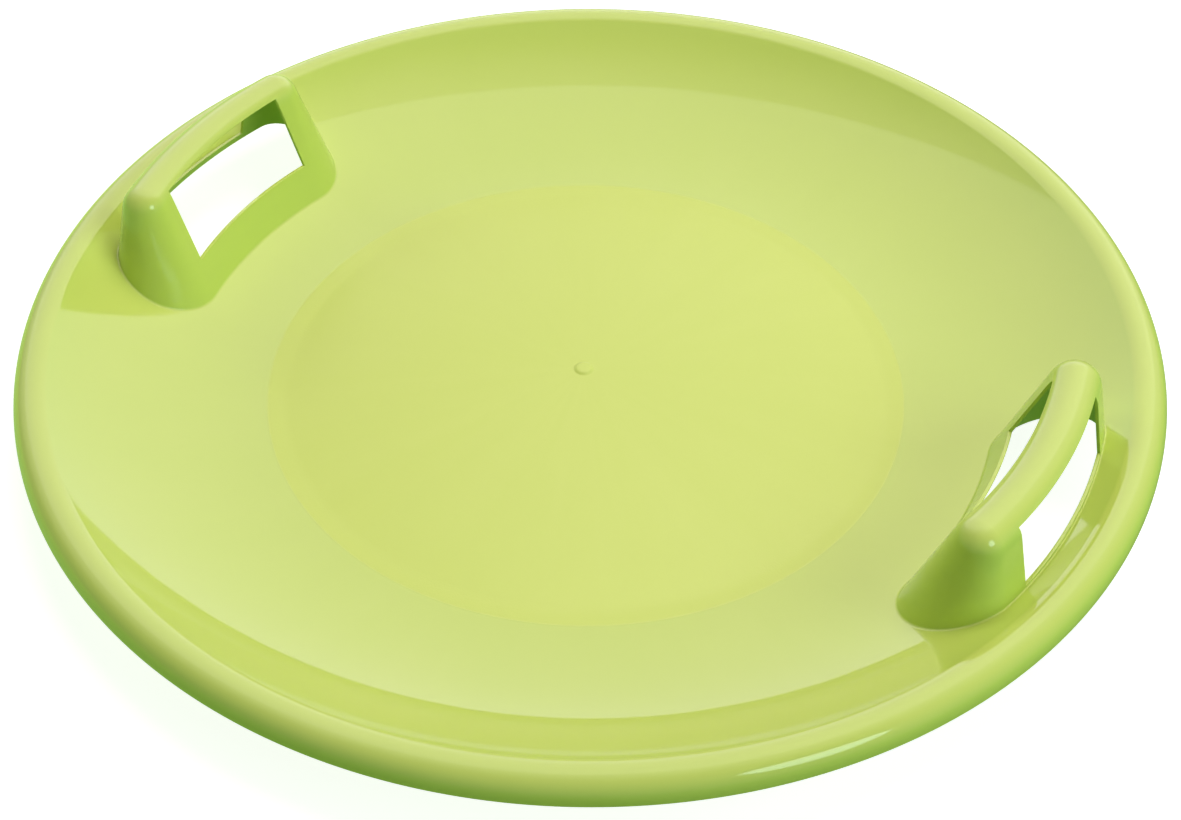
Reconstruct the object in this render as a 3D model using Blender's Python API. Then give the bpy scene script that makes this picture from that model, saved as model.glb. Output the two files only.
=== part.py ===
"""Round plastic snow slider with two raised hand grips, modelled at its real size in metres.

The slider lies on its underside with the middle of its base at the origin and +Z up.
The grips stand on the X axis, one on each side. Heights count from the ground it rests on.
"""

import math

import bpy
import bmesh
from mathutils import Vector

# Sheet and joints
SHEET = 0.0020  # wall thickness of the moulding
JOINT_GAP = 0.0003  # clearance where two members meet
WELD = 0.00001  # points closer than this are one

# Rolled rim
RIM_RADIUS = 0.295  # outermost radius of the slider
BEAD_RADIUS = 0.0110  # radius over the crest of the rim
BEAD_CENTRE_Z = 0.0368
SKIRT_DROP = 0.0008  # straight outer wall below the rounded crest
SKIRT_EDGE = 0.0006  # rounding of the skirt's lower edge

# Seat
SEAT_RADIUS = 0.169  # edge of the satin seat
SEAT_CROWN = 0.009  # height of the seat's middle over its edge
LAND_INNER = 0.1615  # flat ring that the slider rests on
LAND_OUTER = 0.1680
VALLEY_RADIUS = 0.045  # rounding on both sides of that ring
BOWL_START_SLOPE = math.radians(3.0)

# Injection point in the middle of the seat
GATE_RADIUS = 0.0056
GATE_HEIGHT = 0.0013
GATE_WELL_RADIUS = 0.0040
GATE_WELL_TOP_RADIUS = 0.0034
GATE_STUB_RADIUS = 0.0015
GATE_STUB_DROP = 0.0008

# Hand grips
GRIP_RADIUS = 0.247  # distance of the grip's crest line from the middle
GRIP_ROUND = 0.0131  # radius of the rounded top
GRIP_CENTRE_Z = 0.0650  # centre of that rounding
GRIP_HALF_ANGLE = math.radians(13.7)  # from the grip's middle to the centre of each end
INNER_DRAFT = math.radians(19.5)  # lean of the wall that faces the rider
OUTER_DRAFT = math.radians(12.3)  # lean of the wall that faces the rim
WALL = 0.0018  # thickness of the grips' walls
FOOT_ROUND_INNER = 0.0025  # rounding between wall and bowl on the rider's side
FOOT_ROUND_OUTER = 0.0006  # the same on the side of the rim
HOLLOW_ROUND_INNER = 0.0020  # rounding of the hollow's lower edge on the rider's side
HOLLOW_ROUND_OUTER = 0.0008
WINDOW_HALF_LENGTH = 0.0486
WINDOW_TOP = 0.0725
WINDOW_BOTTOM_INNER = 0.0312
WINDOW_BOTTOM_OUTER = 0.0384
WINDOW_CUT_FROM = 0.195  # the cutters' ends, well clear of both walls and of the pan
WINDOW_CUT_TO = 0.285
OPENING_CUT_LOW = -0.010
OPENING_CUT_HEIGHT = 0.080

# Facets
RING_STEPS = 84
CROWN_STEPS = 4
VALLEY_STEPS = 2
BOWL_STEPS = 8
BEAD_STEPS = 8
GRIP_ARC_STEPS = 8
GRIP_END_STEPS = 12
GRIP_TOP_STEPS = 5
FOOT_STEPS = 3
GATE_STEPS = 4
SEARCH_ROUNDS = 12  # rounds that find where a wall meets the bowl
PROBE = 0.001  # length over which the direction of a face is taken
SHARP_ANGLE = math.radians(35)

LIME = (0.58, 0.71, 0.17, 1.0)
LIME_SEAT = (0.56, 0.69, 0.15, 1.0)


def arc(start, slope_from, slope_to, radius, steps):
    """Points after start along an arc, each as (r, z, slope). A negative radius bends down."""
    r0, z0, _ = start
    points = []
    for i in range(1, steps + 1):
        slope = slope_from + (slope_to - slope_from) * i / steps
        r = r0 + radius * (math.sin(slope) - math.sin(slope_from))
        z = z0 + radius * (math.cos(slope_from) - math.cos(slope))
        points.append((r, z, slope))
    return points


def underside(point):
    """The point of the lower face opposite a point of the upper face."""
    r, z, slope = point
    return (r + SHEET * math.sin(slope), z - SHEET * math.cos(slope), slope)


def upper_face():
    """The moulding's upper face from the middle to the skirt's edge, in named stretches."""
    edge_slope = 2 * math.atan(SEAT_CROWN / LAND_INNER)
    crown_radius = LAND_INNER / math.sin(edge_slope) - VALLEY_RADIUS
    middle = (0.0, SHEET + SEAT_CROWN, 0.0)
    crown = [middle] + arc(middle, 0.0, -edge_slope, -crown_radius, CROWN_STEPS)
    fall = arc(crown[-1], -edge_slope, 0.0, VALLEY_RADIUS, VALLEY_STEPS)
    land = (LAND_OUTER, SHEET, 0.0)
    rise = arc(land, 0.0, BOWL_START_SLOPE, VALLEY_RADIUS, VALLEY_STEPS)

    # The bowl's arc starts at the end of the rise and runs tangent into the rim's bead.
    r0, z0, slope0 = rise[-1]
    to_bead = (RIM_RADIUS - BEAD_RADIUS - r0, BEAD_CENTRE_Z - z0)
    normal = (-math.sin(slope0), math.cos(slope0))
    along = to_bead[0] * normal[0] + to_bead[1] * normal[1]
    reach = to_bead[0] ** 2 + to_bead[1] ** 2 - BEAD_RADIUS**2
    bowl_radius = reach / (2 * (along + BEAD_RADIUS))
    bead_slope = math.asin((to_bead[0] - bowl_radius * normal[0]) / (bowl_radius + BEAD_RADIUS))

    bowl = arc(rise[-1], slope0, bead_slope, bowl_radius, BOWL_STEPS)
    bead = arc(bowl[-1], bead_slope, -math.pi / 2, -BEAD_RADIUS, BEAD_STEPS)
    return {"seat": crown + fall + [land], "rise": rise, "bowl": bowl, "bead": bead}


def at_radius(points, radius):
    """The point of a polyline at a radius, between its neighbours."""
    for (r0, z0, s0), (r1, z1, s1) in zip(points, points[1:]):
        if r0 <= radius <= r1:
            t = (radius - r0) / (r1 - r0)
            return (radius, z0 + t * (z1 - z0), s0 + t * (s1 - s0))
    raise ValueError("radius outside the polyline")


def material(name, colour, roughness):
    made = bpy.data.materials.new(name)
    made.use_nodes = True
    shader = made.node_tree.nodes["Principled BSDF"]
    shader.inputs["Base Color"].default_value = colour
    shader.inputs["Roughness"].default_value = roughness
    shader.inputs["Metallic"].default_value = 0.0
    return made


def add_object(name, mesh, finish=None):
    obj = bpy.data.objects.new(name, mesh)
    bpy.context.scene.collection.objects.link(obj)
    if finish is None:
        obj.hide_render = True
        obj.display_type = "WIRE"
    else:
        mesh.materials.append(finish)
    return obj


def turned(name, profile, finish=None, closed=True):
    """An object turned about Z from a profile of (r, z) points that runs down its outer side."""
    edges = [(i, i + 1) for i in range(len(profile) - 1)]
    if closed:
        edges.append((len(profile) - 1, 0))
    mesh = bpy.data.meshes.new(name)
    mesh.from_pydata([(r, 0.0, z) for r, z in profile], edges, [])
    obj = add_object(name, mesh, finish)
    screw = obj.modifiers.new("Turn", "SCREW")
    screw.steps = screw.render_steps = RING_STEPS
    screw.use_merge_vertices = True
    screw.merge_threshold = WELD
    screw.use_smooth_shade = True
    return obj


def flat(points):
    return [(r, z) for r, z, _ in points]


def sheet_profile(points):
    """A closed profile of the sheet between its first and last point."""
    return flat(points) + flat(underside(p) for p in reversed(points))


def cut(obj, cutter, name):
    boolean = obj.modifiers.new(name, "BOOLEAN")
    boolean.operation = "DIFFERENCE"
    boolean.solver = "EXACT"
    boolean.object = cutter


def seat_panel(face, finish):
    """The crowned satin seat, with the injection point's dome above and its well below."""
    edge = at_radius([face["seat"][-1]] + face["rise"], SEAT_RADIUS - JOINT_GAP / 2)
    top = face["seat"][1:] + [edge]
    crest = SHEET + SEAT_CROWN
    quarter = [math.pi / 2 * i / GATE_STEPS for i in range(GATE_STEPS + 1)]
    dome = [
        (GATE_RADIUS * math.sin(a), crest - WELD + GATE_HEIGHT * math.cos(a)) for a in quarter
    ]
    floor = crest - SHEET
    well = [
        (GATE_WELL_RADIUS, floor),
        (GATE_WELL_TOP_RADIUS, floor + GATE_HEIGHT),
        (GATE_STUB_RADIUS, floor + GATE_HEIGHT),
        (GATE_STUB_RADIUS, floor + GATE_HEIGHT - GATE_STUB_DROP),
        (0.0, floor + GATE_HEIGHT - GATE_STUB_DROP),
    ]
    profile = dome + flat(top) + flat(underside(p) for p in reversed(top)) + well
    return turned("seat_panel", profile, finish, closed=False)


def slide_pan(face, finish):
    """The bowl between the seat and the rim, open beneath both grips."""
    inner = at_radius([face["seat"][-1]] + face["rise"] + face["bowl"], SEAT_RADIUS + JOINT_GAP / 2)
    outer = face["rise"][1:] + face["bowl"]
    return turned("slide_pan", sheet_profile([inner] + outer), finish)


def rolled_rim(face, finish):
    """The rounded crest and the short skirt that stands outside the bowl."""
    join = face["bowl"][-1]
    along = (JOINT_GAP * math.cos(join[2]), JOINT_GAP * math.sin(join[2]))
    start = (join[0] + along[0], join[1] + along[1], join[2])
    crest = [start] + face["bead"]
    outer_r = RIM_RADIUS
    inner_r = RIM_RADIUS - SHEET
    low = BEAD_CENTRE_Z - SKIRT_DROP
    skirt = [
        (outer_r, low + SKIRT_EDGE),
        (outer_r - SKIRT_EDGE, low),
        (inner_r + SKIRT_EDGE, low),
        (inner_r, low + SKIRT_EDGE),
    ]
    profile = flat(crest) + skirt + flat(underside(p) for p in reversed(crest))
    return turned("rolled_rim", profile, finish)


def grip_edges(z, inset):
    """Inner and outer radius of the grip's walls at a height, set in from its outer face."""
    rounding = GRIP_ROUND - inset
    above = z - GRIP_CENTRE_Z
    half = math.sqrt(max(rounding**2 - above**2, 0.0))

    def wall(draft):
        if above >= rounding * math.sin(draft):
            return half
        return rounding / math.cos(draft) - above * math.tan(draft)

    return GRIP_RADIUS - wall(INNER_DRAFT), GRIP_RADIUS + wall(OUTER_DRAFT)


def grip_stations():
    """Places round the grip, each as the azimuth of its middle line and the way its wall faces."""
    stations = []
    for end, facing in ((1, 0.0), (-1, math.pi)):
        for i in range(GRIP_ARC_STEPS):
            azimuth = end * GRIP_HALF_ANGLE * (2 * i / GRIP_ARC_STEPS - 1)
            stations.append((azimuth, azimuth + facing))
        azimuth = end * GRIP_HALF_ANGLE
        for i in range(GRIP_END_STEPS):
            stations.append((azimuth, azimuth + facing + math.pi * i / GRIP_END_STEPS))
    return stations


def grip_point(station, z, inset):
    azimuth, facing = station
    inner, outer = grip_edges(z, inset)
    centre, half = (outer + inner) / 2, (outer - inner) / 2
    x = centre * math.cos(azimuth) + half * math.cos(facing)
    y = centre * math.sin(azimuth) + half * math.sin(facing)
    return Vector((x, y, z))


def on_face(points, place):
    """The place moved up or down onto the face turned from a polyline."""
    return Vector((place.x, place.y, at_radius(points, math.hypot(place.x, place.y))[1]))


def grip_foot(station, inset, points, round_inner, round_outer):
    """The rounding between a bowl's face and the grip's wall, from the face up to the wall."""
    azimuth, facing = station
    outward = (1 + math.cos(facing - azimuth)) / 2
    radius = round_inner + (round_outer - round_inner) * outward
    corner = grip_point(station, 0.0, inset)
    for _ in range(SEARCH_ROUNDS):
        corner = grip_point(station, on_face(points, corner).z, inset)
    up = (grip_point(station, corner.z + PROBE, inset) - corner).normalized()
    beside = corner + PROBE * Vector((math.cos(facing), math.sin(facing), 0.0))
    along = (on_face(points, beside) - corner).normalized()
    half_angle = up.angle(along) / 2
    reach = radius / math.tan(half_angle)
    centre = corner + (up + along).normalized() * radius / math.sin(half_angle)
    first = (corner + along * reach - centre).normalized()
    last = (corner + up * reach - centre).normalized()
    arc_points = [centre + first.slerp(last, i / FOOT_STEPS) * radius for i in range(FOOT_STEPS + 1)]
    arc_points[0] = on_face(points, arc_points[0])
    return arc_points


def crown_levels(inset):
    """Heights from the end of the straight walls to the crest line."""
    rounding = GRIP_ROUND - inset
    levels = [GRIP_CENTRE_Z + rounding * math.sin(OUTER_DRAFT)]
    for i in range(GRIP_TOP_STEPS + 1):
        angle = INNER_DRAFT + (math.pi / 2 - INNER_DRAFT) * i / GRIP_TOP_STEPS
        levels.append(GRIP_CENTRE_Z + rounding * math.sin(angle))
    return levels


def grip_shell(name, face):
    """A hollow grip as one loft: foot, outer walls, crest line, hollow and the foot's underside."""
    top = face["rise"] + face["bowl"] + face["bead"][:1]
    bottom = [underside(p) for p in top]
    columns = []
    for station in grip_stations():
        outer = grip_foot(station, 0.0, top, FOOT_ROUND_INNER, FOOT_ROUND_OUTER)
        outer += [grip_point(station, z, 0.0) for z in crown_levels(0.0)]
        inner = grip_foot(station, WALL, bottom, HOLLOW_ROUND_INNER, HOLLOW_ROUND_OUTER)
        inner += [grip_point(station, z, WALL) for z in crown_levels(WALL)]
        columns.append([on_face(bottom, outer[0])] + outer + list(reversed(inner)))
    return lofted(name, columns, len(outer))


def lofted(name, columns, crest):
    """A closed ring of columns. It is left open between the crest lines of its two faces."""
    shape = bmesh.new()
    grid = [[shape.verts.new(point) for point in column] for column in columns]
    rows = len(columns[0])
    for left, right in zip(grid, grid[1:] + grid[:1]):
        for j in range(rows):
            if j != crest:
                k = (j + 1) % rows
                shape.faces.new((left[j], right[j], right[k], left[k]))
    bmesh.ops.remove_doubles(shape, verts=shape.verts, dist=WELD)
    bmesh.ops.recalc_face_normals(shape, faces=shape.faces)
    mesh = bpy.data.meshes.new(name)
    shape.to_mesh(mesh)
    shape.free()
    return mesh


def prism(name, outline, shift):
    """A flat outline swept along a straight line."""
    shape = bmesh.new()
    face = shape.faces.new([shape.verts.new(point) for point in outline])
    swept = bmesh.ops.extrude_face_region(shape, geom=[face])
    moved = [v for v in swept["geom"] if isinstance(v, bmesh.types.BMVert)]
    bmesh.ops.translate(shape, verts=moved, vec=shift)
    bmesh.ops.recalc_face_normals(shape, faces=shape.faces)
    mesh = bpy.data.meshes.new(name)
    shape.to_mesh(mesh)
    shape.free()
    return mesh


def window_form(name):
    """A straight slot through both walls. Its sill is higher on the side of the rim."""
    outline = [
        (WINDOW_CUT_FROM, WINDOW_BOTTOM_INNER),
        (GRIP_RADIUS, WINDOW_BOTTOM_INNER),
        (GRIP_RADIUS, WINDOW_BOTTOM_OUTER),
        (WINDOW_CUT_TO, WINDOW_BOTTOM_OUTER),
        (WINDOW_CUT_TO, WINDOW_TOP),
        (WINDOW_CUT_FROM, WINDOW_TOP),
    ]
    near = [(x, -WINDOW_HALF_LENGTH, z) for x, z in outline]
    return prism(name, near, (0.0, 2 * WINDOW_HALF_LENGTH, 0.0))


def opening_form(name, face):
    """The grip's place in the pan: the outline of its foot with the joint's gap round it."""
    top = face["rise"] + face["bowl"] + face["bead"][:1]
    outline = []
    for station in grip_stations():
        foot = grip_foot(station, 0.0, top, FOOT_ROUND_INNER, FOOT_ROUND_OUTER)[0]
        x = foot.x + JOINT_GAP * math.cos(station[1])
        y = foot.y + JOINT_GAP * math.sin(station[1])
        outline.append((x, y, OPENING_CUT_LOW))
    return prism(name, outline, (0.0, 0.0, OPENING_CUT_HEIGHT))


def hand_grip(name, turn, face, pan, finish):
    """A hollow drafted grip with its finger window, and its place in the pan."""
    grip = add_object(name, grip_shell(name, face), finish)
    window = add_object(name + "_window", window_form(name + "_window"))
    opening = add_object(name + "_opening", opening_form(name + "_opening", face))
    for obj in (grip, window, opening):
        obj.rotation_euler = (0.0, 0.0, turn)
    cut(grip, window, "Window")
    cut(pan, opening, name.capitalize() + " opening")
    grip.data.shade_smooth()
    grip.data.set_sharp_from_angle(angle=SHARP_ANGLE)
    return grip


def main():
    for obj in list(bpy.data.objects):
        bpy.data.objects.remove(obj)

    gloss = material("lime_gloss", LIME, 0.22)
    satin = material("lime_satin", LIME_SEAT, 0.42)
    face = upper_face()
    seat_panel(face, satin)
    pan = slide_pan(face, gloss)
    rolled_rim(face, gloss)
    hand_grip("right_handle", 0.0, face, pan, gloss)
    hand_grip("left_handle", math.pi, face, pan, gloss)


main()
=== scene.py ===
"""Looks of a round plastic snow slider: fine surfaces, moulded finishes, floor, light and camera.

Lengths are metres and +Z is up. The grips stand on the X axis. Every surface follows the driving
dimensions of the model beneath it, with finer facets, rounded window edges and shading that runs
on unbroken from one piece of the moulding to the next.
"""

import math

import bpy
import bmesh
import numpy as np
from mathutils import Matrix, Vector


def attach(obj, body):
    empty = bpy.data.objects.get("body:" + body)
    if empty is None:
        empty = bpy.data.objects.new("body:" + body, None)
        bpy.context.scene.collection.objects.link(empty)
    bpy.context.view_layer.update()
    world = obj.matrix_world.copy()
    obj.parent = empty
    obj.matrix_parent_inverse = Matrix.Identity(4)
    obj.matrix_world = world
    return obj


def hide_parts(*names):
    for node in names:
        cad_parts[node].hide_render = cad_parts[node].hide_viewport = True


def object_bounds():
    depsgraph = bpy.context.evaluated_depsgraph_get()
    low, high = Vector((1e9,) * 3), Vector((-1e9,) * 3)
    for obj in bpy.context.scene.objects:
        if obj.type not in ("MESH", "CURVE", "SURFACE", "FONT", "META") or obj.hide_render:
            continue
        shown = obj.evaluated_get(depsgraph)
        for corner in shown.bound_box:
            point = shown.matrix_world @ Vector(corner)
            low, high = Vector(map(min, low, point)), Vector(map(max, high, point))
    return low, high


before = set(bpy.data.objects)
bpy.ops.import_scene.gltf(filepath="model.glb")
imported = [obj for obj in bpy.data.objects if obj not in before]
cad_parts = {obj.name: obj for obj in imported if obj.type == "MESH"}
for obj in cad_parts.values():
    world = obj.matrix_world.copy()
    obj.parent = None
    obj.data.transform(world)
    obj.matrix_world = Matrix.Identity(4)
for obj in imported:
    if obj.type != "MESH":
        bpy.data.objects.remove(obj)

CAD_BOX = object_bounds()

# Sheet
SHEET = 0.0020  # wall thickness of the moulding
WELD = 0.00001  # points closer than this are one

# Rolled rim
RIM_RADIUS = CAD_BOX[1].x  # outermost radius of the slider
BEAD_RADIUS = 0.0110  # radius over the crest of the rim
BEAD_CENTRE_Z = 0.0368
SKIRT_DROP = 0.0008  # straight outer wall below the rounded crest
SKIRT_EDGE = 0.0006  # rounding of the skirt's lower edge

# Seat
SEAT_RADIUS = 0.169  # edge of the satin seat
SEAT_CROWN = 0.009  # height of the seat's middle over its edge
LAND_INNER = 0.1615  # flat ring that the slider rests on
LAND_OUTER = 0.1680
VALLEY_RADIUS = 0.045  # rounding on both sides of that ring
BOWL_START_SLOPE = math.radians(3.0)

# Injection point in the middle of the seat
GATE_RADIUS = 0.0056
GATE_HEIGHT = 0.0013
GATE_WELL_RADIUS = 0.0040
GATE_WELL_TOP_RADIUS = 0.0034
GATE_STUB_RADIUS = 0.0015
GATE_STUB_DROP = 0.0008

# Hand grips
GRIP_RADIUS = 0.247  # distance of the grip's crest line from the middle
GRIP_ROUND = 0.0131  # radius of the rounded top
GRIP_CENTRE_Z = 0.0650  # centre of that rounding
GRIP_HALF_ANGLE = math.radians(13.7)  # from the grip's middle to the centre of each end
INNER_DRAFT = math.radians(19.5)  # lean of the wall that faces the rider
OUTER_DRAFT = math.radians(12.3)  # lean of the wall that faces the rim
WALL = 0.0018  # thickness of the grips' walls
FOOT_ROUND_INNER = 0.0025  # rounding between wall and bowl on the rider's side
FOOT_ROUND_OUTER = 0.0006  # the same on the side of the rim
HOLLOW_ROUND_INNER = 0.0020  # rounding of the hollow's lower edge on the rider's side
HOLLOW_ROUND_OUTER = 0.0008
WINDOW_HALF_LENGTH = 0.0486
WINDOW_TOP = 0.0725
WINDOW_BOTTOM_INNER = 0.0312
WINDOW_BOTTOM_OUTER = 0.0384
EDGE_ROUND = 0.00035  # rounding of the windows' edges
OPENING_CUT_LOW = -0.010
OPENING_CUT_HEIGHT = 0.080

# Facets
RING_STEPS = 480
CROWN_STEPS = 32
VALLEY_STEPS = 6
BOWL_STEPS = 56
BEAD_STEPS = 40
SKIRT_STEPS = 6
GATE_STEPS = 14
WINDOW_COLUMNS = 52
MARGIN_COLUMNS = 4  # columns between the window and the grip's round end
END_COLUMNS = 40
FOOT_STEPS = 8
LOWER_ROWS = 6  # rows from the foot to the window's sill
WALL_ROWS = 14  # rows from the sill to the rounded top
SHOULDER_ROWS = 4  # rows from there to the window's top edge
CREST_ROWS = 12  # rows from there to the crest line
EDGE_STEPS = 4
SEARCH_ROUNDS = 12  # rounds that find where a wall meets the bowl
PROBE = 0.001  # length over which the direction of a face is taken
SHARP_ANGLE = math.radians(40)
ON_SHEET = 0.000005  # a corner this close to a face of the sheet lies on it
SAME_WAY = 0.5  # least cosine between a corner's normal and that face's

# Camera
FRAME_WIDTH = 1181
FRAME_HEIGHT = 820
FOCAL_PIXELS = 2020
SENSOR_WIDTH = 36.0
CAMERA_DISTANCE = 1.0750
CAMERA_ELEVATION = math.radians(43.19)
CAMERA_AZIMUTH = math.radians(30.03)
CAMERA_TARGET_Z = 0.011
CAMERA_PAN = math.radians(2.32)
CAMERA_TILT = math.radians(-0.82)
CAMERA_ROLL = math.radians(-0.14)
PICTURE_CENTRE_X = 501.8  # pixel that the lens points at
PICTURE_CENTRE_Y = 397.3

# Lamps, as name, degrees round from the far side towards the right, degrees up, width, watts,
# colour, and whether they light the matt plastic and show in reflections
LAMP_DISTANCE = 2.4
LAMPS = (
    ("key", 42, 75, 1.7, 39.5, (1.0, 0.93, 0.86), True, False),
    ("window", 119, 29, 2.1, 29.5, (0.83, 1.0, 0.92), True, False),
    ("back", 302, 22, 1.4, 11.5, (0.78, 1.0, 0.60), True, False),
    ("strip", 141, 34, 0.9, 8.0, (0.75, 1.0, 0.95), False, True),
    ("white screen", 0, 43, 4.5, 39.0, (1.0, 0.98, 0.94), False, True),
)

# Lime plastic
LIME = (0.62, 0.70, 0.15, 1.0)
LIME_PALE = (0.645, 0.71, 0.17, 1.0)  # in the flow marks
LIME_SEAT = (0.635, 0.69, 0.165, 1.0)
LIME_SEAT_PALE = (0.66, 0.705, 0.185, 1.0)
LIME_WALL_SHADE = (0.55, 0.695, 0.13, 1.0)  # painted shade: the deeper green that steep walls take on, where less light falls on them
GLOSS_ROUGHNESS = (0.05, 0.17)  # clean, and where it is scuffed
SATIN_ROUGHNESS = (0.42, 0.55)
WALL_ROUGHNESS = 0.06  # added on steep walls, which leave the mould less polished
GLOSS_RELIEF = 0.00002  # height of the skin's relief
SATIN_RELIEF = 0.00006
GLOSS_SKIN = {"Ripple": 1.0, "Grain": 0.05, "Grain scale": 500.0, "Scuffs": 0.3}
SATIN_SKIN = {"Ripple": 0.3, "Grain": 1.0, "Grain scale": 1100.0, "Scuffs": 0.2}
REFRACTION = 1.54
SPECULAR_LEVEL = 0.6

# Flow marks, skin and the painted shade on steep walls, as noise scales and as the ranges that the noise
# and the walls' steepness are stretched over
CLOUD_SCALE = 9.0
MARK_RANGE = (0.12, 0.42)
STEEP_RANGE = (0.85, 0.45)  # upright part of the face's direction, from a slope to a full wall; steeper walls get more painted shade and more roughness
RIPPLE_SCALE = 55.0
HAIRLINE_TURN = 0.7
HAIRLINE_SCALE = (9.0, 420.0, 60.0)
HAIRLINE_RANGE = (0.66, 0.74)
PATCH_SCALE = 14.0
PATCH_RANGE = (0.5, 0.7)

# Surroundings
WHITE = (1.0, 1.0, 1.0, 1.0)
SKY = (0.045, 0.090, 0.030, 1.0)  # as the matt side of the plastic sees them
ROOM_LEVEL = 0.36  # the darker room behind the camera, as reflected
ROOM_RANGE = (0.45, 0.72)  # nearness to far and above, from that room to white

# Floor
FLOOR_SIZE = 12.0
FLOOR_ALBEDO = 0.50
FLOOR_GLOW = 0.86  # share of the floor's white that no shadow takes away
WHITE_RADII = (0.45, 1.2)  # where the floor turns plain white, out to the horizon
FLOOR_UNDER_SHADE = (0.12, 0.26, 0.06, 1.0)  # painted shade: the floor's dim glow beneath the slider, as the plastic sees it, green from the slider
FLOOR_NEAR = (0.27, 0.42, 0.15, 1.0)  # painted light: the floor's glow beside it, towards the camera and the right
FLOOR_LEFT_LIGHT = (0.66, 1.0, 0.34, 1.0)  # a painted pool of light: the brighter glow on the left, where the slider shades it least
SHADOW_RADII = (0.24, 0.36)  # where the painted shadow beneath the slider ends
LEFT_TURN = 285  # degrees round from the far side to the painted pool of light, the brightest part of the floor
LEFT_RANGE = (-0.10, 0.30)  # distance towards it, from the near glow to the painted pool of light on the left


# Shape of the sheet


def spread(first, last, steps):
    """Even steps after first, up to last."""
    return [first + (last - first) * i / steps for i in range(1, steps + 1)]


def arc(start, slope_from, slope_to, radius, steps):
    """Points after start along an arc, each as (r, z, slope). A negative radius bends down."""
    r0, z0, _ = start
    points = []
    for slope in spread(slope_from, slope_to, steps):
        r = r0 + radius * (math.sin(slope) - math.sin(slope_from))
        z = z0 + radius * (math.cos(slope_from) - math.cos(slope))
        points.append((r, z, slope))
    return points


def underside(point):
    """The point of the lower face opposite a point of the upper face."""
    r, z, slope = point
    return (r + SHEET * math.sin(slope), z - SHEET * math.cos(slope), slope)


def upper_face():
    """The moulding's upper face from the middle to the skirt's edge, in named stretches."""
    edge_slope = 2 * math.atan(SEAT_CROWN / LAND_INNER)
    crown_radius = LAND_INNER / math.sin(edge_slope) - VALLEY_RADIUS
    middle = (0.0, SHEET + SEAT_CROWN, 0.0)
    crown = [middle] + arc(middle, 0.0, -edge_slope, -crown_radius, CROWN_STEPS)
    fall = arc(crown[-1], -edge_slope, 0.0, VALLEY_RADIUS, VALLEY_STEPS)
    land = (LAND_OUTER, SHEET, 0.0)
    rise = arc(land, 0.0, BOWL_START_SLOPE, VALLEY_RADIUS, VALLEY_STEPS)

    # The bowl's arc starts at the end of the rise and runs tangent into the rim's bead.
    r0, z0, slope0 = rise[-1]
    to_bead = (RIM_RADIUS - BEAD_RADIUS - r0, BEAD_CENTRE_Z - z0)
    normal = (-math.sin(slope0), math.cos(slope0))
    along = to_bead[0] * normal[0] + to_bead[1] * normal[1]
    reach = to_bead[0] ** 2 + to_bead[1] ** 2 - BEAD_RADIUS**2
    bowl_radius = reach / (2 * (along + BEAD_RADIUS))
    bead_slope = math.asin((to_bead[0] - bowl_radius * normal[0]) / (bowl_radius + BEAD_RADIUS))

    bowl = arc(rise[-1], slope0, bead_slope, bowl_radius, BOWL_STEPS)
    bead = arc(bowl[-1], bead_slope, -math.pi / 2, -BEAD_RADIUS, BEAD_STEPS)
    return {"seat": crown + fall + [land], "rise": rise, "bowl": bowl, "bead": bead}


def at_radius(points, radius):
    """The point of a polyline at a radius, between its neighbours."""
    for (r0, z0, s0), (r1, z1, s1) in zip(points, points[1:]):
        if r0 <= radius <= r1:
            t = (radius - r0) / (r1 - r0)
            return (radius, z0 + t * (z1 - z0), s0 + t * (s1 - s0))
    raise ValueError("radius outside the polyline")


FACE = upper_face()
TOP = FACE["seat"] + FACE["rise"] + FACE["bowl"]
BOTTOM = [underside(point) for point in TOP]
GRIP_GROUND = FACE["rise"] + FACE["bowl"] + FACE["bead"][:1]
GRIP_GROUND_BELOW = [underside(point) for point in GRIP_GROUND]


# Meshes


def add_object(name, mesh):
    obj = bpy.data.objects.new(name, mesh)
    bpy.context.scene.collection.objects.link(obj)
    return obj


def evaluated(obj):
    """Puts the modifiers' result in place of the object's mesh."""
    depsgraph = bpy.context.evaluated_depsgraph_get()
    result = bpy.data.meshes.new_from_object(
        obj.evaluated_get(depsgraph), preserve_all_data_layers=True, depsgraph=depsgraph
    )
    obj.modifiers.clear()
    obj.data = result


def share_normals(mesh):
    """Corners on a face of the sheet take that face's own direction, on whichever piece they are."""
    count = len(mesh.loops)
    normals = np.empty(count * 3)
    mesh.corner_normals.foreach_get("vector", normals)
    normals = normals.reshape(-1, 3)
    places = np.empty(len(mesh.vertices) * 3)
    mesh.vertices.foreach_get("co", places)
    vertex = np.empty(count, dtype=np.int64)
    mesh.loops.foreach_get("vertex_index", vertex)
    x, y, z = places.reshape(-1, 3)[vertex].T
    radius = np.maximum(np.hypot(x, y), WELD)
    for points, side in ((TOP, 1.0), (BOTTOM, -1.0)):
        radii, heights, slopes = np.array(points).T
        slope = np.interp(radius, radii, slopes)
        lean = -side * np.sin(slope) / radius
        facing = np.stack([lean * x, lean * y, side * np.cos(slope)], axis=1)
        on_face = np.abs(z - np.interp(radius, radii, heights)) < ON_SHEET
        on_face &= (normals * facing).sum(axis=1) > SAME_WAY
        normals[on_face] = facing[on_face]
    mesh.normals_split_custom_set(normals.tolist())


def finished(obj, node, finish):
    """Settles a piece's mesh and shading, and puts it in the place of its solid."""
    evaluated(obj)
    obj.data.shade_smooth()
    obj.data.set_sharp_from_angle(angle=SHARP_ANGLE)
    weighted = obj.modifiers.new("Shading", "WEIGHTED_NORMAL")
    weighted.keep_sharp = True
    evaluated(obj)
    share_normals(obj.data)
    obj.data.materials.clear()
    obj.data.materials.append(finish)
    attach(obj, "root")
    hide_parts(node)
    return obj


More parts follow.
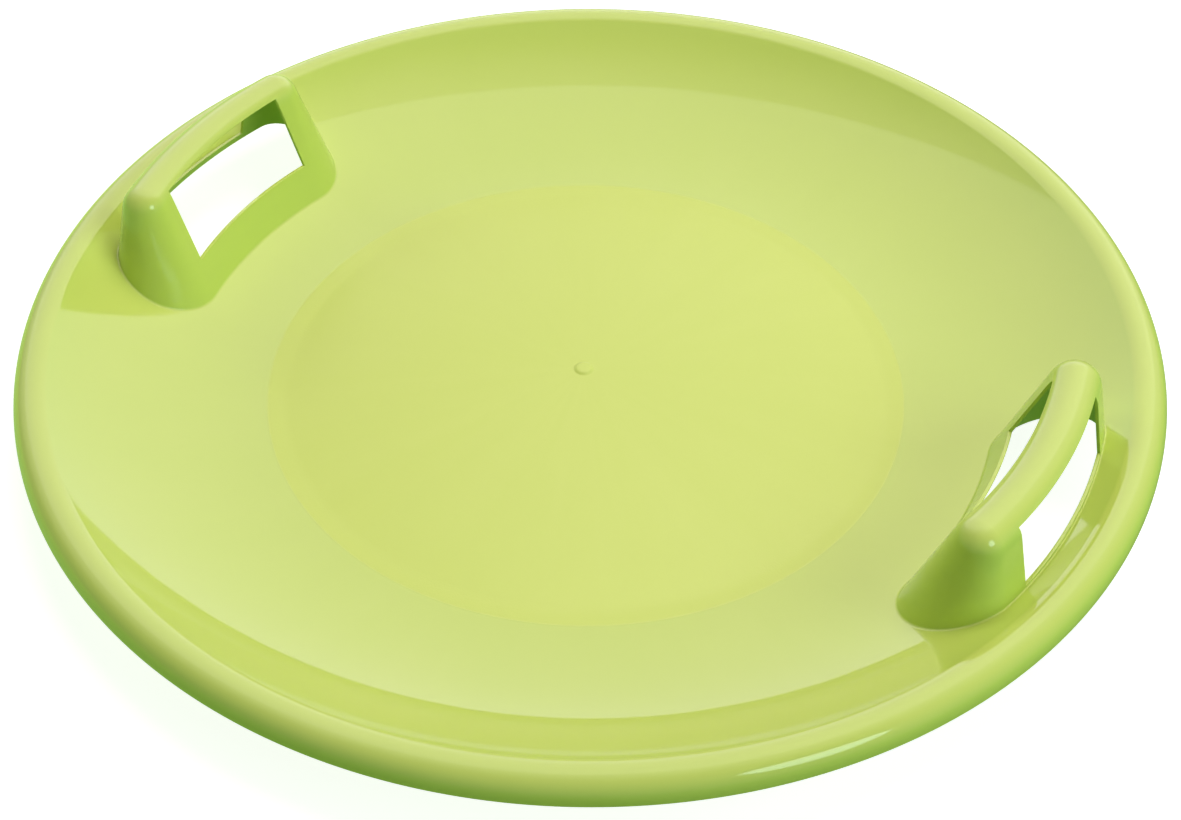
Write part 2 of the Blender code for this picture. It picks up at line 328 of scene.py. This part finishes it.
def turned(name, profile, closed=True):
    """An object turned about Z from a profile of (r, z) points that runs down its outer side."""
    edges = [(i, i + 1) for i in range(len(profile) - 1)]
    if closed:
        edges.append((len(profile) - 1, 0))
    mesh = bpy.data.meshes.new(name)
    mesh.from_pydata([(r, 0.0, z) for r, z in profile], edges, [])
    obj = add_object(name, mesh)
    screw = obj.modifiers.new("Turn", "SCREW")
    screw.steps = screw.render_steps = RING_STEPS
    screw.use_merge_vertices = True
    screw.merge_threshold = WELD
    return obj


def flat(points):
    return [(r, z) for r, z, _ in points]


def both_faces(points):
    """A closed profile of the sheet between its first and last point."""
    return flat(points) + flat(underside(point) for point in reversed(points))


def swept(name, outline, shift):
    """A flat outline swept along a straight line, as an object."""
    shape = bmesh.new()
    face = shape.faces.new([shape.verts.new(point) for point in outline])
    moved = bmesh.ops.extrude_face_region(shape, geom=[face])["geom"]
    moved = [item for item in moved if isinstance(item, bmesh.types.BMVert)]
    bmesh.ops.translate(shape, verts=moved, vec=shift)
    bmesh.ops.recalc_face_normals(shape, faces=shape.faces)
    mesh = bpy.data.meshes.new(name)
    shape.to_mesh(mesh)
    shape.free()
    return add_object(name, mesh)


# Seat, bowl and rim


def seat(finish):
    """The crowned satin seat, with the injection point's low dome above and its well below."""
    edge = at_radius([FACE["seat"][-1]] + FACE["rise"], SEAT_RADIUS)
    top = [point for point in FACE["seat"] if point[0] > GATE_RADIUS] + [edge]
    crest = SHEET + SEAT_CROWN
    base = at_radius(FACE["seat"], GATE_RADIUS)[1]
    dome = []
    for i in range(GATE_STEPS + 1):
        share = i / GATE_STEPS
        swell = (1 + math.cos(math.pi * share**3)) / 2
        dome.append((GATE_RADIUS * share, base + GATE_HEIGHT * swell))
    floor = crest - SHEET
    well = [
        (GATE_WELL_RADIUS, floor),
        (GATE_WELL_TOP_RADIUS, floor + GATE_HEIGHT),
        (GATE_STUB_RADIUS, floor + GATE_HEIGHT),
        (GATE_STUB_RADIUS, floor + GATE_HEIGHT - GATE_STUB_DROP),
        (0.0, floor + GATE_HEIGHT - GATE_STUB_DROP),
    ]
    profile = dome + flat(top) + flat(underside(point) for point in reversed(top)) + well
    return finished(turned("seat", profile, closed=False), "seat_panel", finish)


def bowl(finish):
    """The glossy bowl between the seat and the rim, open beneath both grips."""
    inner = at_radius([FACE["seat"][-1]] + FACE["rise"], SEAT_RADIUS)
    outer = [point for point in FACE["rise"] if point[0] > SEAT_RADIUS] + FACE["bowl"]
    obj = turned("bowl", both_faces([inner] + outer))
    foot = [column[0] for column in grip_columns()[0]]
    cutters = []
    for half_turn in (1, -1):
        outline = [(half_turn * p.x, half_turn * p.y, OPENING_CUT_LOW) for p in foot]
        cutter = swept("grip_opening", outline, (0.0, 0.0, OPENING_CUT_HEIGHT))
        opening = obj.modifiers.new("Grip opening", "BOOLEAN")
        opening.operation = "DIFFERENCE"
        opening.solver = "EXACT"
        opening.object = cutter
        cutters.append(cutter)
    evaluated(obj)
    for cutter in cutters:
        bpy.data.objects.remove(cutter)
    return finished(obj, "slide_pan", finish)


def rim(finish):
    """The rounded crest and the short skirt that stands outside the bowl."""
    crest = [FACE["bowl"][-1]] + FACE["bead"]
    low = BEAD_CENTRE_Z - SKIRT_DROP
    centre_z = low + SKIRT_EDGE
    outer_edge = RIM_RADIUS - SKIRT_EDGE
    inner_edge = RIM_RADIUS - SHEET + SKIRT_EDGE
    skirt = []
    for centre_r, turns in ((outer_edge, (0.0, -0.5)), (inner_edge, (-0.5, -1.0))):
        for turn in [turns[0]] + spread(*turns, SKIRT_STEPS):
            angle = math.pi * turn
            r = centre_r + SKIRT_EDGE * math.cos(angle)
            skirt.append((r, centre_z + SKIRT_EDGE * math.sin(angle)))
    profile = flat(crest) + skirt + flat(underside(point) for point in reversed(crest))
    return finished(turned("rim", profile), "rolled_rim", finish)


# Hand grips


def grip_edges(z, inset):
    """Inner and outer radius of the grip's walls at a height, set in from its outer face."""
    rounding = GRIP_ROUND - inset
    above = z - GRIP_CENTRE_Z
    half = math.sqrt(max(rounding**2 - above**2, 0.0))

    def wall(draft):
        if above >= rounding * math.sin(draft):
            return half
        return rounding / math.cos(draft) - above * math.tan(draft)

    return GRIP_RADIUS - wall(INNER_DRAFT), GRIP_RADIUS + wall(OUTER_DRAFT)


ARC_COLUMNS = WINDOW_COLUMNS + 2 * MARGIN_COLUMNS
WINDOW_SHARE = WINDOW_COLUMNS / ARC_COLUMNS
SILL_ROW = FOOT_STEPS + LOWER_ROWS
HEAD_ROW = SILL_ROW + WALL_ROWS + 1 + SHOULDER_ROWS


def grip_stations():
    """Places round the grip: share of its length, -1 to 1, and the wall's turn away from the rim."""
    stations = []
    for end, turn in ((1, 0.0), (-1, math.pi)):
        stations += [(end * (2 * i / ARC_COLUMNS - 1), turn) for i in range(ARC_COLUMNS)]
        stations += [(end, turn + math.pi * i / END_COLUMNS) for i in range(END_COLUMNS)]
    return stations


def grip_azimuth(station, z, inset):
    """The columns keep to the window's ends, which are planes straight across the grip."""
    share, turn = station
    faces_rim = math.cos(turn) > 0
    level = max(z, WINDOW_BOTTOM_OUTER if faces_rim else WINDOW_BOTTOM_INNER)
    radius = grip_edges(level, inset)[faces_rim]
    edge = math.asin((WINDOW_HALF_LENGTH + EDGE_ROUND) / radius)
    beyond = (abs(share) - WINDOW_SHARE) / (1 - WINDOW_SHARE)
    if beyond <= 0:
        return share / WINDOW_SHARE * edge
    return math.copysign(edge + beyond * (GRIP_HALF_ANGLE - edge), share)


def grip_point(station, z, inset):
    azimuth = grip_azimuth(station, z, inset)
    facing = azimuth + station[1]
    inner, outer = grip_edges(z, inset)
    centre, half = (outer + inner) / 2, (outer - inner) / 2
    x = centre * math.cos(azimuth) + half * math.cos(facing)
    y = centre * math.sin(azimuth) + half * math.sin(facing)
    return Vector((x, y, z))


def on_face(points, place):
    """The place moved up or down onto the face turned from a polyline."""
    return Vector((place.x, place.y, at_radius(points, math.hypot(place.x, place.y))[1]))


def outward(station):
    """1 where the wall faces the rim, 0 where it faces the rider."""
    return (1 + math.cos(station[1])) / 2


def grip_foot(station, inset, ground, round_inner, round_outer):
    """The rounding between the bowl's face and the grip's wall, from the face up to the wall."""
    radius = round_inner + (round_outer - round_inner) * outward(station)
    corner = grip_point(station, 0.0, inset)
    for _ in range(SEARCH_ROUNDS):
        corner = grip_point(station, on_face(ground, corner).z, inset)
    facing = grip_azimuth(station, corner.z, inset) + station[1]
    up = (grip_point(station, corner.z + PROBE, inset) - corner).normalized()
    beside = corner + PROBE * Vector((math.cos(facing), math.sin(facing), 0.0))
    along = (on_face(ground, beside) - corner).normalized()
    half_angle = up.angle(along) / 2
    reach = radius / math.tan(half_angle)
    centre = corner + (up + along).normalized() * radius / math.sin(half_angle)
    first = (corner + along * reach - centre).normalized()
    last = (corner + up * reach - centre).normalized()
    shares = [0.0] + spread(0.0, 1.0, FOOT_STEPS)
    points = [centre + first.slerp(last, share) * radius for share in shares]
    points[0] = on_face(ground, points[0])
    return points


def wall_levels(station, foot_z, inset):
    """Heights of the rows from the foot's rounding to the crest line."""
    rounding = GRIP_ROUND - inset
    rise = WINDOW_BOTTOM_OUTER - WINDOW_BOTTOM_INNER
    sill = WINDOW_BOTTOM_INNER + rise * outward(station) - EDGE_ROUND
    straight = GRIP_CENTRE_Z + rounding * math.sin(OUTER_DRAFT)
    head = math.asin((WINDOW_TOP + EDGE_ROUND - GRIP_CENTRE_Z) / rounding)
    turns = [INNER_DRAFT] + spread(INNER_DRAFT, head, SHOULDER_ROWS)
    turns += spread(head, math.pi / 2, CREST_ROWS)
    levels = spread(foot_z, sill, LOWER_ROWS) + spread(sill, straight, WALL_ROWS)
    return levels + [GRIP_CENTRE_Z + rounding * math.sin(turn) for turn in turns]


def grip_columns():
    """Points up the outer face and up the hollow, one column for each place round the grip."""
    faces = (
        (0.0, GRIP_GROUND, FOOT_ROUND_INNER, FOOT_ROUND_OUTER),
        (WALL, GRIP_GROUND_BELOW, HOLLOW_ROUND_INNER, HOLLOW_ROUND_OUTER),
    )
    made = []
    for inset, ground, round_inner, round_outer in faces:
        columns = []
        for station in grip_stations():
            foot = grip_foot(station, inset, ground, round_inner, round_outer)
            levels = wall_levels(station, foot[-1].z, inset)
            columns.append(foot + [grip_point(station, z, inset) for z in levels])
        made.append(columns)
    return made


def window_walk(first, last):
    """The corners of the grid round a window, in turn, as (column, row)."""
    walk = [(k, SILL_ROW) for k in range(first, last)]
    walk += [(last, row) for row in range(SILL_ROW, HEAD_ROW)]
    walk += [(k, HEAD_ROW) for k in range(last, first, -1)]
    return walk + [(first, row) for row in range(HEAD_ROW, SILL_ROW, -1)]


def window_lip(face, hollow, away, inward):
    """Points through a wall from its face to its hollow, with both edges rounded."""
    points = []
    quarter = [math.pi / 2 * i / EDGE_STEPS for i in range(EDGE_STEPS + 1)]
    for angle in quarter[1:]:
        centre = face + inward * EDGE_ROUND
        points.append(centre - EDGE_ROUND * (math.cos(angle) * inward + math.sin(angle) * away))
    for angle in reversed(quarter[1:]):
        centre = hollow - inward * EDGE_ROUND
        points.append(centre + EDGE_ROUND * (math.cos(angle) * inward - math.sin(angle) * away))
    return points


def strip(shape, rows):
    """Faces between neighbouring rows of vertices, the last row joined to the first."""
    for left, right in zip(rows, rows[1:] + rows[:1]):
        for j in range(len(left) - 1):
            shape.faces.new((left[j], right[j], right[j + 1], left[j + 1]))


def grip(name, half_turn, node, finish):
    """A hollow drafted grip: two faces with a finger window in each wall, joined round the edges."""
    outer, hollow = grip_columns()
    shape = bmesh.new()
    grids = [[[shape.verts.new(p) for p in column] for column in face] for face in (outer, hollow)]
    windows = []
    for first, inward in ((0, -1.0), (ARC_COLUMNS + END_COLUMNS, 1.0)):
        first += MARGIN_COLUMNS
        windows.append((first, first + WINDOW_COLUMNS, Vector((inward, 0.0, 0.0))))
    for grid in grids:
        for k in range(len(grid)):
            left, right = grid[k], grid[(k + 1) % len(grid)]
            cut = any(first <= k < last for first, last, _ in windows)
            for j in range(len(left) - 1):
                if not (cut and SILL_ROW <= j < HEAD_ROW):
                    shape.faces.new((left[j], right[j], right[j + 1], left[j + 1]))

    # The edge of the foot, down through the sheet and in to the hollow.
    foot = []
    for face_column, hollow_column in zip(*grids):
        low = shape.verts.new(on_face(GRIP_GROUND_BELOW, face_column[0].co))
        foot.append([face_column[0], low, hollow_column[0]])
    strip(shape, foot)

    stations = grip_stations()
    for first, last, inward in windows:
        rows = []
        for k, row in window_walk(first, last):
            side = math.copysign(1.0, stations[k][0]) if k in (first, last) else 0.0
            rise = {SILL_ROW: -1.0, HEAD_ROW: 1.0}.get(row, 0.0)
            start, end = grids[0][k][row], grids[1][k][row]
            between = window_lip(start.co, end.co, Vector((0.0, side, rise)), inward)
            rows.append([start] + [shape.verts.new(p) for p in between] + [end])
        strip(shape, rows)

    bmesh.ops.remove_doubles(shape, verts=shape.verts, dist=WELD)
    bmesh.ops.recalc_face_normals(shape, faces=shape.faces)
    mesh = bpy.data.meshes.new(name)
    shape.to_mesh(mesh)
    shape.free()
    mesh.transform(Matrix.Rotation(half_turn, 4, "Z"))
    return finished(add_object(name, mesh), node, finish)


# Finishes


def node(tree, kind, inputs=None, **settings):
    """A shader node. An input is given as a value or as the socket that feeds it."""
    made = tree.nodes.new(kind)
    for key, value in settings.items():
        setattr(made, key, value)
    for key, value in (inputs or {}).items():
        if isinstance(value, bpy.types.NodeSocket):
            tree.links.new(value, made.inputs[key])
        else:
            made.inputs[key].default_value = value
    return made


def ramp(tree, value, ends, low=0.0):
    """A share that runs from low to 1 while a value runs from one end to the other."""
    inputs = {"Value": value, "From Min": ends[0], "From Max": ends[1], "To Min": low}
    return node(tree, "ShaderNodeMapRange", inputs)


def effect(name, inputs, outputs):
    """A new node group with named inputs (kind and usual value) and outputs (kind)."""
    tree = bpy.data.node_groups.new(name, "ShaderNodeTree")
    for label, (kind, value) in inputs.items():
        socket = tree.interface.new_socket(label, in_out="INPUT", socket_type=kind)
        socket.default_value = value
    for label, kind in outputs.items():
        tree.interface.new_socket(label, in_out="OUTPUT", socket_type=kind)
    return tree, tree.nodes.new("NodeGroupInput"), tree.nodes.new("NodeGroupOutput")


def placed(tree, group, values):
    """An effect's group in a material, with that material's own values."""
    made = tree.nodes.new("ShaderNodeGroup")
    made.node_tree = group
    for key, value in values.items():
        made.inputs[key].default_value = value
    return made


def flow_marks_and_wall_shade():
    """Colour that drifts in faint streaks from the injection point, with painted shade that deepens the
    green on steep walls, where less light falls.
    """
    inputs = {
        "Colour": ("NodeSocketColor", WHITE),
        "Pale": ("NodeSocketColor", WHITE),
        "Wall shade": ("NodeSocketColor", WHITE),
        "Streaks": ("NodeSocketFloat", 6.0),
        "Amount": ("NodeSocketFloat", 0.5),
    }
    outputs = {"Colour": "NodeSocketColor", "Steep": "NodeSocketFloat"}
    tree, given, result = effect("flow_marks_and_wall_shade", inputs, outputs)
    place = node(tree, "ShaderNodeTexCoord").outputs["Object"]
    on_plan = node(tree, "ShaderNodeVectorMath", {0: place, 1: (1, 1, 0)}, operation="MULTIPLY")
    ray = node(tree, "ShaderNodeVectorMath", {0: on_plan.outputs[0]}, operation="NORMALIZE")
    drift = node(tree, "ShaderNodeVectorMath", {0: ray.outputs[0], 1: place}, operation="ADD")
    streaks = node(
        tree,
        "ShaderNodeTexNoise",
        {"Vector": drift.outputs[0], "Scale": given.outputs["Streaks"], "Detail": 4.0},
    )
    clouds = node(tree, "ShaderNodeTexNoise", {"Vector": place, "Scale": CLOUD_SCALE, "Detail": 2.0})
    both = node(
        tree,
        "ShaderNodeMath",
        {0: streaks.outputs["Fac"], 1: clouds.outputs["Fac"]},
        operation="MULTIPLY",
    )
    share = ramp(tree, both.outputs[0], MARK_RANGE)
    amount = node(
        tree,
        "ShaderNodeMath",
        {0: share.outputs[0], 1: given.outputs["Amount"]},
        operation="MULTIPLY",
    )
    mixed = node(
        tree,
        "ShaderNodeMix",
        {0: amount.outputs[0], 6: given.outputs["Colour"], 7: given.outputs["Pale"]},
        data_type="RGBA",
    )
    # Painted shade: the colour turns to the deeper wall green as the face turns upright, where less
    # light falls.
    facing = node(tree, "ShaderNodeNewGeometry").outputs["Normal"]
    upright = node(tree, "ShaderNodeVectorMath", {0: facing, 1: (0, 0, 1)}, operation="DOT_PRODUCT")
    level = node(tree, "ShaderNodeMath", {0: upright.outputs["Value"]}, operation="ABSOLUTE")
    steep = ramp(tree, level.outputs[0], STEEP_RANGE)
    wall_shaded = node(
        tree,
        "ShaderNodeMix",
        {0: steep.outputs[0], 6: mixed.outputs[2], 7: given.outputs["Wall shade"]},
        data_type="RGBA",
    )
    tree.links.new(wall_shaded.outputs[2], result.inputs["Colour"])
    tree.links.new(steep.outputs[0], result.inputs["Steep"])
    return tree


def moulded_skin():
    """Heights of a moulded skin: slow ripples, a fine grain and a few hairline scuffs."""
    inputs = {
        "Ripple": ("NodeSocketFloat", 1.0),
        "Grain": ("NodeSocketFloat", 1.0),
        "Grain scale": ("NodeSocketFloat", 900.0),
        "Scuffs": ("NodeSocketFloat", 0.0),
    }
    outputs = {"Height": "NodeSocketFloat", "Wear": "NodeSocketFloat"}
    tree, given, result = effect("moulded_skin", inputs, outputs)
    place = node(tree, "ShaderNodeTexCoord").outputs["Object"]
    ripple = node(
        tree, "ShaderNodeTexNoise", {"Vector": place, "Scale": RIPPLE_SCALE, "Detail": 1.0}
    )
    grain = node(
        tree,
        "ShaderNodeTexNoise",
        {"Vector": place, "Scale": given.outputs["Grain scale"], "Detail": 3.0},
    )
    stretched = node(
        tree,
        "ShaderNodeMapping",
        {"Vector": place, "Rotation": (0.0, 0.0, HAIRLINE_TURN), "Scale": HAIRLINE_SCALE},
    )
    lines = node(
        tree,
        "ShaderNodeTexNoise",
        {"Vector": stretched.outputs[0], "Scale": 1.0, "Detail": 2.0, "Distortion": 0.6},
    )
    patches = node(
        tree, "ShaderNodeTexNoise", {"Vector": place, "Scale": PATCH_SCALE, "Detail": 3.0}
    )
    hairlines = ramp(tree, lines.outputs["Fac"], HAIRLINE_RANGE)
    worn = ramp(tree, patches.outputs["Fac"], PATCH_RANGE)
    scuffed = node(
        tree,
        "ShaderNodeMath",
        {0: hairlines.outputs[0], 1: worn.outputs[0]},
        operation="MULTIPLY",
    )
    terms = []
    for height, label in ((ripple.outputs["Fac"], "Ripple"), (grain.outputs["Fac"], "Grain")):
        term = node(tree, "ShaderNodeMath", {0: height, 1: given.outputs[label]}, operation="MULTIPLY")
        terms.append(term.outputs[0])
    skin = node(tree, "ShaderNodeMath", {0: terms[0], 1: terms[1]}, operation="ADD")
    wear = node(
        tree,
        "ShaderNodeMath",
        {0: scuffed.outputs[0], 1: given.outputs["Scuffs"]},
        operation="MULTIPLY",
    )
    height = node(tree, "ShaderNodeMath", {0: skin.outputs[0], 1: wear.outputs[0]}, operation="SUBTRACT")
    tree.links.new(height.outputs[0], result.inputs["Height"])
    tree.links.new(wear.outputs[0], result.inputs["Wear"])
    return tree


def plastic(name, colours, roughness, relief, skin_values, streaks, skin):
    """A moulded lime plastic. Roughness runs between two values with the skin's wear."""
    made = bpy.data.materials.new(name)
    made.use_nodes = True
    tree = made.node_tree
    shader = tree.nodes["Principled BSDF"]
    # The flow marks' group also paints shade onto steep walls.
    flow_and_wall_shade = placed(tree, streaks, {"Colour": colours[0], "Pale": colours[1], "Wall shade": LIME_WALL_SHADE})
    surface = placed(tree, skin, skin_values)
    rough = node(
        tree,
        "ShaderNodeMapRange",
        {"Value": surface.outputs["Wear"], "To Min": roughness[0], "To Max": roughness[1]},
    )
    walled = node(
        tree,
        "ShaderNodeMath",
        {0: flow_and_wall_shade.outputs["Steep"], 1: WALL_ROUGHNESS, 2: rough.outputs[0]},
        operation="MULTIPLY_ADD",
    )
    bump = node(
        tree,
        "ShaderNodeBump",
        {"Height": surface.outputs["Height"], "Distance": relief, "Strength": 1.0},
    )
    tree.links.new(flow_and_wall_shade.outputs["Colour"], shader.inputs["Base Color"])
    tree.links.new(walled.outputs[0], shader.inputs["Roughness"])
    tree.links.new(bump.outputs[0], shader.inputs["Normal"])
    shader.inputs["IOR"].default_value = REFRACTION
    shader.inputs["Specular IOR Level"].default_value = SPECULAR_LEVEL
    return made


# Floor, light and camera


def camera_axes():
    """Right, away and up as seen from the camera, level with the ground."""
    away = Vector((-math.sin(CAMERA_AZIMUTH), math.cos(CAMERA_AZIMUTH), 0.0))
    right = Vector((math.cos(CAMERA_AZIMUTH), math.sin(CAMERA_AZIMUTH), 0.0))
    return right, away, Vector((0.0, 0.0, 1.0))


def level_way(round_from_far):
    """A level direction, in degrees round from the far side towards the right."""
    right, away, _ = camera_axes()
    turn = math.radians(round_from_far)
    return math.cos(turn) * away + math.sin(turn) * right


def add_camera():
    """The photo's camera."""
    _, away, up = camera_axes()
    target = CAMERA_TARGET_Z * up
    back = math.sin(CAMERA_ELEVATION) * up - math.cos(CAMERA_ELEVATION) * away
    turn = back.to_track_quat("Z", "Y").to_matrix().to_4x4()
    turn = turn @ Matrix.Rotation(CAMERA_PAN, 4, "Y") @ Matrix.Rotation(CAMERA_TILT, 4, "X")
    turn = turn @ Matrix.Rotation(-CAMERA_ROLL, 4, "Z")
    data = bpy.data.cameras.new("camera")
    data.sensor_width = SENSOR_WIDTH
    data.lens = FOCAL_PIXELS / FRAME_WIDTH * SENSOR_WIDTH
    data.shift_x = (FRAME_WIDTH / 2 - PICTURE_CENTRE_X) / FRAME_WIDTH
    data.shift_y = (PICTURE_CENTRE_Y - FRAME_HEIGHT / 2) / FRAME_WIDTH
    camera = add_object("camera", data)
    camera.matrix_world = Matrix.Translation(target + back * CAMERA_DISTANCE) @ turn
    bpy.context.scene.camera = camera


def add_lamp(name, round_from_far, elevation, width, watts, colour, lights, shows):
    """A soft round lamp that looks at the slider."""
    rise = math.radians(elevation)
    up = camera_axes()[2]
    toward = math.cos(rise) * level_way(round_from_far) + math.sin(rise) * up
    data = bpy.data.lights.new(name, "AREA")
    data.shape = "DISK"
    data.size = width
    data.energy = watts
    data.color = colour
    lamp = add_object(name, data)
    facing = toward.to_track_quat("Z", "Y").to_matrix().to_4x4()
    lamp.matrix_world = Matrix.Translation(toward * LAMP_DISTANCE) @ facing
    lamp.visible_diffuse = lights
    lamp.visible_glossy = shows


def add_world():
    """White to the camera, a dim sky to the matt plastic, and in reflections white on the far side."""
    world = bpy.data.worlds.new("surroundings")
    bpy.context.scene.world = world
    world.use_nodes = True
    tree = world.node_tree
    tree.nodes.clear()
    _, away, up = camera_axes()
    path = node(tree, "ShaderNodeLightPath")
    toward = node(tree, "ShaderNodeTexCoord").outputs["Generated"]
    far_above = (away + up).normalized()
    ahead = node(tree, "ShaderNodeVectorMath", {0: toward, 1: far_above}, operation="DOT_PRODUCT")
    room = ramp(tree, ahead.outputs["Value"], ROOM_RANGE, ROOM_LEVEL)
    to_plastic = node(
        tree,
        "ShaderNodeMix",
        {0: path.outputs["Is Glossy Ray"], 6: SKY, 7: room.outputs[0]},
        data_type="RGBA",
    )
    clear = node(
        tree,
        "ShaderNodeMath",
        {0: path.outputs["Is Camera Ray"], 1: path.outputs["Is Transmission Ray"]},
        operation="MAXIMUM",
    )
    colour = node(
        tree,
        "ShaderNodeMix",
        {0: clear.outputs[0], 6: to_plastic.outputs[2], 7: WHITE},
        data_type="RGBA",
    )
    background = node(tree, "ShaderNodeBackground", {"Color": colour.outputs[2], "Strength": 1.0})
    output = node(tree, "ShaderNodeOutputWorld")
    tree.links.new(background.outputs[0], output.inputs["Surface"])


def add_floor():
    """A white floor that keeps the slider's shadow and can be looked through from below."""
    half = FLOOR_SIZE / 2
    mesh = bpy.data.meshes.new("floor")
    corners = [(-half, -half, 0.0), (half, -half, 0.0), (half, half, 0.0), (-half, half, 0.0)]
    mesh.from_pydata(corners, [], [(0, 1, 2, 3)])
    floor = add_object("floor", mesh)
    paint = bpy.data.materials.new("floor")
    paint.use_nodes = True
    tree = paint.node_tree
    tree.nodes.clear()
    matt = node(tree, "ShaderNodeBsdfDiffuse", {"Color": (FLOOR_ALBEDO,) * 3 + (1.0,)})
    place = node(tree, "ShaderNodeTexCoord").outputs["Object"]
    radius = node(tree, "ShaderNodeVectorMath", {0: place}, operation="LENGTH")
    whiter = ramp(tree, radius.outputs["Value"], WHITE_RADII, FLOOR_GLOW)
    glow = node(tree, "ShaderNodeEmission", {"Color": WHITE, "Strength": whiter.outputs[0]})
    lit = node(tree, "ShaderNodeAddShader")
    tree.links.new(matt.outputs[0], lit.inputs[0])
    tree.links.new(glow.outputs[0], lit.inputs[1])

    # The plastic sees a plain glowing floor with painted shade and painted light: dark beneath the
    # slider, where its shadow falls, and brightest on the left.
    beyond = ramp(tree, radius.outputs["Value"], SHADOW_RADII)
    left = level_way(LEFT_TURN)
    side = node(tree, "ShaderNodeVectorMath", {0: place, 1: left}, operation="DOT_PRODUCT")
    leftward = ramp(tree, side.outputs["Value"], LEFT_RANGE)
    beside = node(
        tree,
        "ShaderNodeMix",
        {0: leftward.outputs[0], 6: FLOOR_NEAR, 7: FLOOR_LEFT_LIGHT},
        data_type="RGBA",
    )
    level = node(
        tree,
        "ShaderNodeMix",
        {0: beyond.outputs[0], 6: FLOOR_UNDER_SHADE, 7: beside.outputs[2]},
        data_type="RGBA",
    )
    painted_glow = node(tree, "ShaderNodeEmission", {"Color": level.outputs[2], "Strength": 1.0})
    path = node(tree, "ShaderNodeLightPath")
    above = node(tree, "ShaderNodeMixShader", {"Fac": path.outputs["Is Camera Ray"]})
    tree.links.new(painted_glow.outputs[0], above.inputs[1])
    tree.links.new(lit.outputs[0], above.inputs[2])

    below = node(tree, "ShaderNodeNewGeometry").outputs["Backfacing"]
    see_through = node(tree, "ShaderNodeBsdfTransparent")
    mixed = node(tree, "ShaderNodeMixShader", {"Fac": below})
    tree.links.new(above.outputs[0], mixed.inputs[1])
    tree.links.new(see_through.outputs[0], mixed.inputs[2])
    output = node(tree, "ShaderNodeOutputMaterial")
    tree.links.new(mixed.outputs[0], output.inputs["Surface"])
    mesh.materials.append(paint)
    floor.visible_shadow = False


def main():
    # The flow marks' group also holds the painted shade on steep walls.
    streaks = flow_marks_and_wall_shade()
    skin = moulded_skin()
    gloss = plastic(
        "lime_gloss", (LIME, LIME_PALE), GLOSS_ROUGHNESS, GLOSS_RELIEF, GLOSS_SKIN, streaks, skin
    )
    satin = plastic(
        "lime_satin",
        (LIME_SEAT, LIME_SEAT_PALE),
        SATIN_ROUGHNESS,
        SATIN_RELIEF,
        SATIN_SKIN,
        streaks,
        skin,
    )
    seat(satin)
    bowl(gloss)
    rim(gloss)
    grip("right_grip", 0.0, "right_handle", gloss)
    grip("left_grip", math.pi, "left_handle", gloss)
    add_floor()
    add_world()
    for lamp in LAMPS:
        add_lamp(*lamp)
    add_camera()
    bpy.context.scene.view_settings.view_transform = "Standard"


main()
